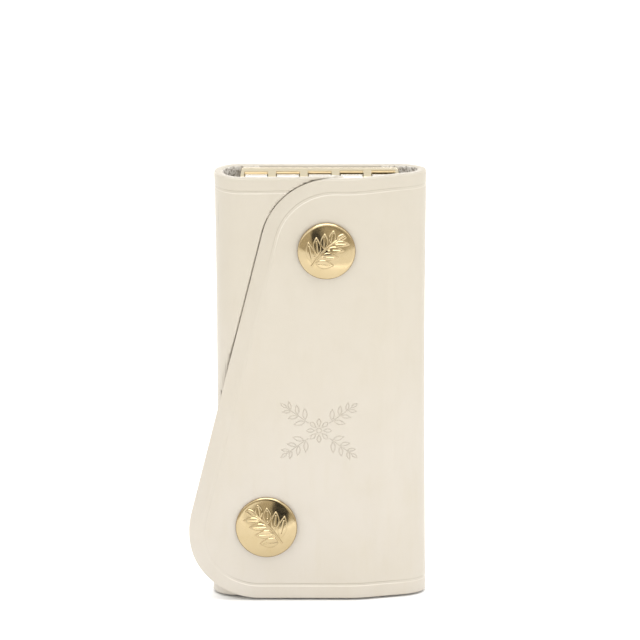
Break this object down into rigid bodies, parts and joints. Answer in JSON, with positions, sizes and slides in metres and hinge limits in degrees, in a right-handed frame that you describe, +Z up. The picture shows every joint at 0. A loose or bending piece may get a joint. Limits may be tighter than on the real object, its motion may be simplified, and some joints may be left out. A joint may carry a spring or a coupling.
{
  "type": "leather key case",
  "caption": "Folded leather key case that stands on its edges: two overlapping flaps closed by domed snap caps, with swivelling key hooks on a brass plate inside.",
  "frame": {"origin": "middle of the back panel's bottom edge, which the case stands on", "axes": "+Z up along the case, -Y out of the front flaps, +X to the right when the flaps face the viewer"},
  "size_m": [0.0634, 0.0206, 0.117],
  "materials": {
    "ivory_leather": "smooth vegetable-tanned calf, ivory, with creased borders and a grey suede flesh side",
    "gilt_brass": "polished gilt brass",
    "plated_brass": "pale satin-polished brass plate",
    "spring_steel": "drawn spring wire and strip"
  },
  "bodies": {
    "case_back": {"back_panel": "ivory_leather", "key_plate": "plated_brass", "hinge_rod": "plated_brass", "left_plate_rivet": "plated_brass", "right_plate_rivet": "plated_brass", "left_rivet_cap": "gilt_brass", "right_rivet_cap": "gilt_brass"},
    "right_bend_back": {"right_bend_back": "ivory_leather"},
    "right_bend_front": {"right_bend_front": "ivory_leather"},
    "outer_flap": {"outer_flap": "ivory_leather", "top_snap_cap": "gilt_brass", "top_snap_socket": "gilt_brass", "top_snap_ring": "spring_steel", "low_snap_cap": "gilt_brass", "low_snap_socket": "gilt_brass", "low_snap_ring": "spring_steel"},
    "left_bend_back": {"left_bend_back": "ivory_leather"},
    "left_bend_front": {"left_bend_front": "ivory_leather"},
    "inner_flap": {"inner_flap": "ivory_leather", "top_snap_stud": "gilt_brass", "top_snap_base": "gilt_brass", "low_snap_stud": "gilt_brass", "low_snap_base": "gilt_brass"},
    "hanger_1": {"hook_1_hanger": "plated_brass"},
    "hook_1": {"hook_1_body": "plated_brass", "hook_1_swivel_pin": "plated_brass"},
    "gate_1": {"hook_1_gate": "spring_steel"},
    "hanger_2": {"hook_2_hanger": "plated_brass"},
    "hook_2": {"hook_2_body": "plated_brass", "hook_2_swivel_pin": "plated_brass"},
    "gate_2": {"hook_2_gate": "spring_steel"},
    "hanger_3": {"hook_3_hanger": "plated_brass"},
    "hook_3": {"hook_3_body": "plated_brass", "hook_3_swivel_pin": "plated_brass"},
    "gate_3": {"hook_3_gate": "spring_steel"},
    "hanger_4": {"hook_4_hanger": "plated_brass"},
    "hook_4": {"hook_4_body": "plated_brass", "hook_4_swivel_pin": "plated_brass"},
    "gate_4": {"hook_4_gate": "spring_steel"},
    "hanger_5": {"hook_5_hanger": "plated_brass"},
    "hook_5": {"hook_5_body": "plated_brass", "hook_5_swivel_pin": "plated_brass"},
    "gate_5": {"hook_5_gate": "spring_steel"}
  },
  "joints": [
    {"name": "flap_open", "type": "hinge", "parent": "case_back", "child": "right_bend_back", "pos_m": [0.02405, 0.00006, 0.0585], "axis": [0, 0, 1], "range_deg": [0, 58]},
    {"name": "right_fold_2", "type": "hinge", "parent": "right_bend_back", "child": "right_bend_front", "pos_m": [0.0283, -0.0073, 0.0585], "axis": [0, 0, 1], "range_deg": [0, 58]},
    {"name": "right_fold_3", "type": "hinge", "parent": "right_bend_front", "child": "outer_flap", "pos_m": [0.02405, -0.01466, 0.0585], "axis": [0, 0, 1], "range_deg": [0, 58]},
    {"name": "left_fold_1", "type": "hinge", "parent": "case_back", "child": "left_bend_back", "pos_m": [-0.02473, 0.00024, 0.0585], "axis": [0, 0, -1], "range_deg": [0, 21]},
    {"name": "left_fold_2", "type": "hinge", "parent": "left_bend_back", "child": "left_bend_front", "pos_m": [-0.0283, -0.00595, 0.0585], "axis": [0, 0, -1], "range_deg": [0, 21]},
    {"name": "left_fold_3", "type": "hinge", "parent": "left_bend_front", "child": "inner_flap", "pos_m": [-0.02473, -0.01214, 0.0585], "axis": [0, 0, -1], "range_deg": [0, 21]},
    {"name": "hook_1_swing", "type": "hinge", "parent": "case_back", "child": "hanger_1", "pos_m": [-0.017, -0.00647, 0.114], "axis": [-1, 0, 0], "range_deg": [-2.5, 5]},
    {"name": "hook_1_swivel", "type": "hinge", "parent": "hanger_1", "child": "hook_1", "pos_m": [-0.017, -0.00647, 0.1092], "axis": [0, 0, 1], "continuous": true},
    {"name": "hook_1_gate", "type": "hinge", "parent": "hook_1", "child": "gate_1", "pos_m": [-0.0144, -0.00647, 0.1031], "axis": [0, 1, 0], "range_deg": [0, 18], "stiffness_Nm_per_rad": 0.0005, "springref_deg": -5.73},
    {"name": "hook_2_swing", "type": "hinge", "parent": "case_back", "child": "hanger_2", "pos_m": [-0.0085, -0.00647, 0.114], "axis": [-1, 0, 0], "range_deg": [-2.5, 5]},
    {"name": "hook_2_swivel", "type": "hinge", "parent": "hanger_2", "child": "hook_2", "pos_m": [-0.0085, -0.00647, 0.1092], "axis": [0, 0, 1], "continuous": true},
    {"name": "hook_2_gate", "type": "hinge", "parent": "hook_2", "child": "gate_2", "pos_m": [-0.0059, -0.00647, 0.1031], "axis": [0, 1, 0], "range_deg": [0, 18], "stiffness_Nm_per_rad": 0.0005, "springref_deg": -5.73},
    {"name": "hook_3_swing", "type": "hinge", "parent": "case_back", "child": "hanger_3", "pos_m": [0, -0.00647, 0.114], "axis": [-1, 0, 0], "range_deg": [-2.5, 5]},
    {"name": "hook_3_swivel", "type": "hinge", "parent": "hanger_3", "child": "hook_3", "pos_m": [0, -0.00647, 0.1092], "axis": [0, 0, 1], "continuous": true},
    {"name": "hook_3_gate", "type": "hinge", "parent": "hook_3", "child": "gate_3", "pos_m": [0.0026, -0.00647, 0.1031], "axis": [0, 1, 0], "range_deg": [0, 18], "stiffness_Nm_per_rad": 0.0005, "springref_deg": -5.73},
    {"name": "hook_4_swing", "type": "hinge", "parent": "case_back", "child": "hanger_4", "pos_m": [0.0085, -0.00647, 0.114], "axis": [-1, 0, 0], "range_deg": [-2.5, 5]},
    {"name": "hook_4_swivel", "type": "hinge", "parent": "hanger_4", "child": "hook_4", "pos_m": [0.0085, -0.00647, 0.1092], "axis": [0, 0, 1], "continuous": true},
    {"name": "hook_4_gate", "type": "hinge", "parent": "hook_4", "child": "gate_4", "pos_m": [0.0111, -0.00647, 0.1031], "axis": [0, 1, 0], "range_deg": [0, 18], "stiffness_Nm_per_rad": 0.0005, "springref_deg": -5.73},
    {"name": "hook_5_swing", "type": "hinge", "parent": "case_back", "child": "hanger_5", "pos_m": [0.017, -0.00647, 0.114], "axis": [-1, 0, 0], "range_deg": [-2.5, 5]},
    {"name": "hook_5_swivel", "type": "hinge", "parent": "hanger_5", "child": "hook_5", "pos_m": [0.017, -0.00647, 0.1092], "axis": [0, 0, 1], "continuous": true},
    {"name": "hook_5_gate", "type": "hinge", "parent": "hook_5", "child": "gate_5", "pos_m": [0.0196, -0.00647, 0.1031], "axis": [0, 1, 0], "range_deg": [0, 18], "stiffness_Nm_per_rad": 0.0005, "springref_deg": -5.73}
  ],
  "couplings": [
    {"joint": "right_fold_2", "follows": "flap_open", "ratio": 1},
    {"joint": "right_fold_3", "follows": "flap_open", "ratio": 1},
    {"joint": "left_fold_1", "follows": "flap_open", "ratio": 0.36},
    {"joint": "left_fold_2", "follows": "flap_open", "ratio": 0.36},
    {"joint": "left_fold_3", "follows": "flap_open", "ratio": 0.36}
  ]
}
